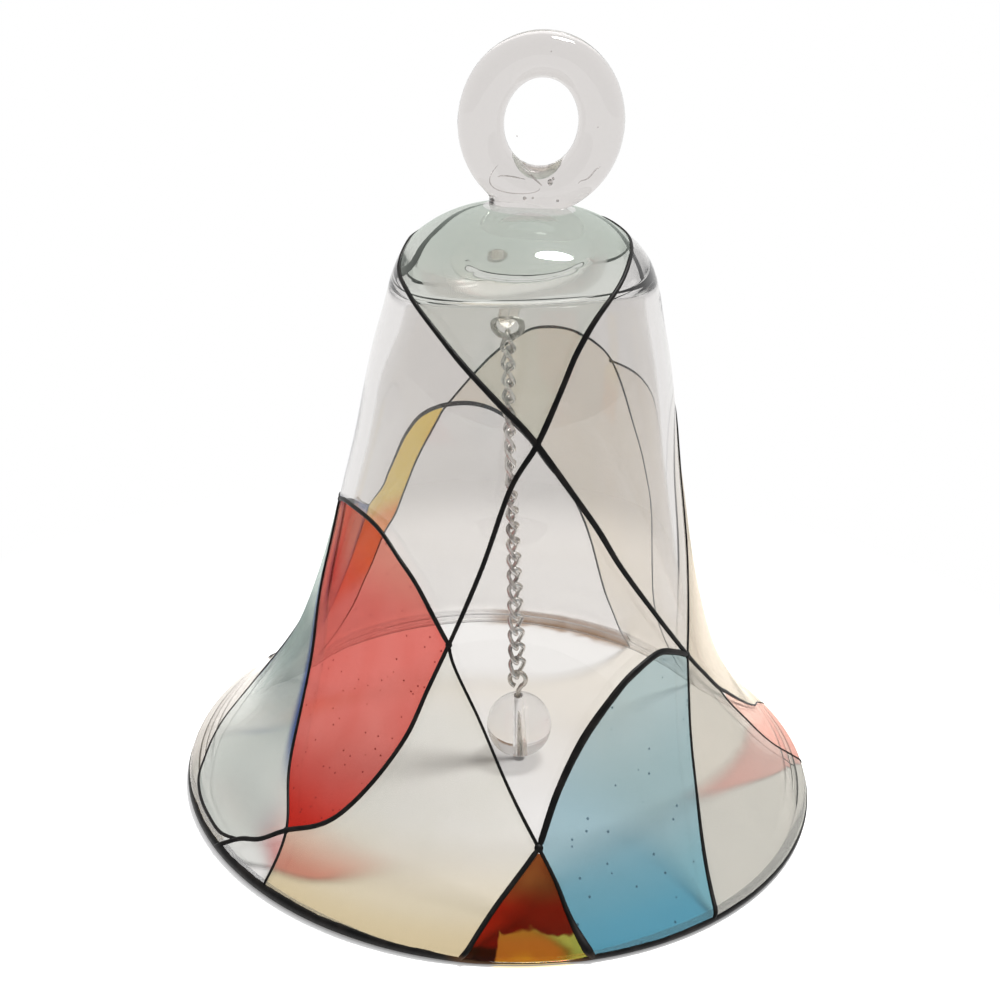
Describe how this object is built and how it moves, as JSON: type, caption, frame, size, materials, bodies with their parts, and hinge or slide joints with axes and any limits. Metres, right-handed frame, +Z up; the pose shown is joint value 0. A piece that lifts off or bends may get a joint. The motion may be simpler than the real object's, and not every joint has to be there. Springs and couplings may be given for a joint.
{
  "type": "glass bell ornament",
  "caption": "Free-standing clear glass bell ornament with leaded coloured panes, a glass hanging ring and a curb chain that carries a loose glass bead as clapper.",
  "frame": {"origin": "centre of the rim circle on the surface the bell stands on", "axes": "+Z up the bell axis to the hanging ring, -Y to the front with the leaded diamond, +X to the viewer's right"},
  "size_m": [0.0962, 0.0962, 0.1121],
  "materials": {
    "bell_glass": "polished blown glass, painted in transparent colours between the lines",
    "ring_glass": "fire-polished rod",
    "black_paste": "cured raised outline paste, semi-gloss black",
    "eye_glass": "whitish fused rod",
    "ring_steel": "bright drawn wire",
    "chain_steel": "bright drawn wire",
    "pin_steel": "bright drawn wire",
    "bead_glass": "polished"
  },
  "bodies": {
    "bell": {"bell_body": "bell_glass", "hanging_ring": "ring_glass", "leading_lines": "black_paste", "inner_eye": "eye_glass"},
    "jump_ring": {"jump_ring": "ring_steel"},
    "chain_link_01": {"chain_link_01": "chain_steel"},
    "chain_link_02": {"chain_link_02": "chain_steel"},
    "chain_link_03": {"chain_link_03": "chain_steel"},
    "chain_link_04": {"chain_link_04": "chain_steel"},
    "chain_link_05": {"chain_link_05": "chain_steel"},
    "chain_link_06": {"chain_link_06": "chain_steel"},
    "chain_link_07": {"chain_link_07": "chain_steel"},
    "chain_link_08": {"chain_link_08": "chain_steel"},
    "chain_link_09": {"chain_link_09": "chain_steel"},
    "chain_link_10": {"chain_link_10": "chain_steel"},
    "chain_link_11": {"chain_link_11": "chain_steel"},
    "chain_link_12": {"chain_link_12": "chain_steel"},
    "chain_link_13": {"chain_link_13": "chain_steel"},
    "chain_link_14": {"chain_link_14": "chain_steel"},
    "chain_link_15": {"chain_link_15": "chain_steel"},
    "chain_link_16": {"chain_link_16": "chain_steel"},
    "chain_link_17": {"chain_link_17": "chain_steel"},
    "chain_link_18": {"chain_link_18": "chain_steel"},
    "chain_link_19": {"chain_link_19": "chain_steel"},
    "chain_link_20": {"chain_link_20": "chain_steel"},
    "chain_link_21": {"chain_link_21": "chain_steel"},
    "chain_link_22": {"chain_link_22": "chain_steel"},
    "eye_pin": {"eye_pin": "pin_steel"},
    "glass_bead": {"glass_bead": "bead_glass"}
  },
  "joints": [
    {"name": "jump_ring_swing", "type": "hinge", "parent": "bell", "child": "jump_ring", "pos_m": [-0.00244, 0, 0.0708], "axis": [0.3409, 0.9397, 0.0274], "range_deg": [-20, 20]},
    {"name": "link_01_swing", "type": "hinge", "parent": "jump_ring", "child": "chain_link_01", "pos_m": [-0.00227, 0, 0.06869], "axis": [0.9367, -0.342, 0.0754], "range_deg": [-20, 20]},
    {"name": "link_02_swing", "type": "hinge", "parent": "chain_link_01", "child": "chain_link_02", "pos_m": [-0.00214, 0, 0.06707], "axis": [-0.3214, -0.9466, -0.0259], "range_deg": [-20, 20]},
    {"name": "link_03_swing", "type": "hinge", "parent": "chain_link_02", "child": "chain_link_03", "pos_m": [-0.00188, 0, 0.06384], "axis": [-0.9435, 0.3224, -0.0759], "range_deg": [-20, 20]},
    {"name": "link_04_swing", "type": "hinge", "parent": "chain_link_03", "child": "chain_link_04", "pos_m": [-0.00174, 0, 0.06211], "axis": [-0.4436, -0.8955, -0.0357], "range_deg": [-20, 20]},
    {"name": "link_05_swing", "type": "hinge", "parent": "chain_link_04", "child": "chain_link_05", "pos_m": [-0.00148, 0, 0.05888], "axis": [-0.8926, 0.4451, -0.0718], "range_deg": [-20, 20]},
    {"name": "link_06_swing", "type": "hinge", "parent": "chain_link_05", "child": "chain_link_06", "pos_m": [-0.00134, 0, 0.05715], "axis": [0.5581, 0.8286, 0.0449], "range_deg": [-20, 20]},
    {"name": "link_07_swing", "type": "hinge", "parent": "chain_link_06", "child": "chain_link_07", "pos_m": [-0.00108, 0, 0.05392], "axis": [0.8259, -0.5599, 0.0665], "range_deg": [-20, 20]},
    {"name": "link_08_swing", "type": "hinge", "parent": "chain_link_07", "child": "chain_link_08", "pos_m": [-0.00094, 0, 0.05219], "axis": [0.6627, 0.747, 0.0533], "range_deg": [-20, 20]},
    {"name": "link_09_swing", "type": "hinge", "parent": "chain_link_08", "child": "chain_link_09", "pos_m": [-0.00068, 0, 0.04896], "axis": [-0.7446, 0.6648, -0.0599], "range_deg": [-25, 25]},
    {"name": "link_10_swing", "type": "hinge", "parent": "chain_link_09", "child": "chain_link_10", "pos_m": [-0.00054, 0, 0.04723], "axis": [-0.7555, -0.6523, -0.0608], "range_deg": [-25, 25]},
    {"name": "link_11_swing", "type": "hinge", "parent": "chain_link_10", "child": "chain_link_11", "pos_m": [-0.00028, 0, 0.044], "axis": [0.6502, -0.758, 0.0523], "range_deg": [-25, 25]},
    {"name": "link_12_swing", "type": "hinge", "parent": "chain_link_11", "child": "chain_link_12", "pos_m": [-0.00015, 0, 0.04227], "axis": [0.8351, 0.546, 0.0672], "range_deg": [-25, 25]},
    {"name": "link_13_swing", "type": "hinge", "parent": "chain_link_12", "child": "chain_link_13", "pos_m": [0.00012, 0, 0.03904], "axis": [0.5443, -0.8378, 0.0438], "range_deg": [-25, 25]},
    {"name": "link_14_swing", "type": "hinge", "parent": "chain_link_13", "child": "chain_link_14", "pos_m": [0.00025, 0, 0.03732], "axis": [-0.8999, -0.4301, -0.0724], "range_deg": [-25, 25]},
    {"name": "link_15_swing", "type": "hinge", "parent": "chain_link_14", "child": "chain_link_15", "pos_m": [0.00052, 0, 0.03408], "axis": [-0.4288, 0.9028, -0.0345], "range_deg": [-25, 25]},
    {"name": "link_16_swing", "type": "hinge", "parent": "chain_link_15", "child": "chain_link_16", "pos_m": [0.00065, 0, 0.03236], "axis": [-0.9488, -0.3066, -0.0763], "range_deg": [-25, 25]},
    {"name": "link_17_swing", "type": "hinge", "parent": "chain_link_16", "child": "chain_link_17", "pos_m": [0.00091, 0, 0.02912], "axis": [0.3057, -0.9518, 0.0246], "range_deg": [-25, 25]},
    {"name": "link_18_swing", "type": "hinge", "parent": "chain_link_17", "child": "chain_link_18", "pos_m": [0.00105, 0, 0.02739], "axis": [0.9809, 0.1777, 0.0789], "range_deg": [-25, 25]},
    {"name": "link_19_swing", "type": "hinge", "parent": "chain_link_18", "child": "chain_link_19", "pos_m": [0.00131, 0, 0.02416], "axis": [-0.1772, 0.9841, -0.0143], "range_deg": [-25, 25]},
    {"name": "link_20_swing", "type": "hinge", "parent": "chain_link_19", "child": "chain_link_20", "pos_m": [0.00145, 0, 0.02244], "axis": [0.9957, 0.0457, 0.0801], "range_deg": [-25, 25]},
    {"name": "link_21_swing", "type": "hinge", "parent": "chain_link_20", "child": "chain_link_21", "pos_m": [0.00171, 0, 0.0192], "axis": [-0.0455, 0.999, -0.0037], "range_deg": [-25, 25]},
    {"name": "link_22_swing", "type": "hinge", "parent": "chain_link_21", "child": "chain_link_22", "pos_m": [0.00185, 0, 0.01748], "axis": [-0.993, 0.0872, -0.0799], "range_deg": [-25, 25]},
    {"name": "eye_pin_swing", "type": "hinge", "parent": "chain_link_22", "child": "eye_pin", "pos_m": [0.00211, 0, 0.01424], "axis": [-0.0869, -0.9962, -0.007], "range_deg": [-30, 30]},
    {"name": "bead_spin", "type": "hinge", "parent": "eye_pin", "child": "glass_bead", "pos_m": [0.00277, 0, 0.00603], "axis": [-0.0802, 0, 0.9968], "continuous": true}
  ]
}
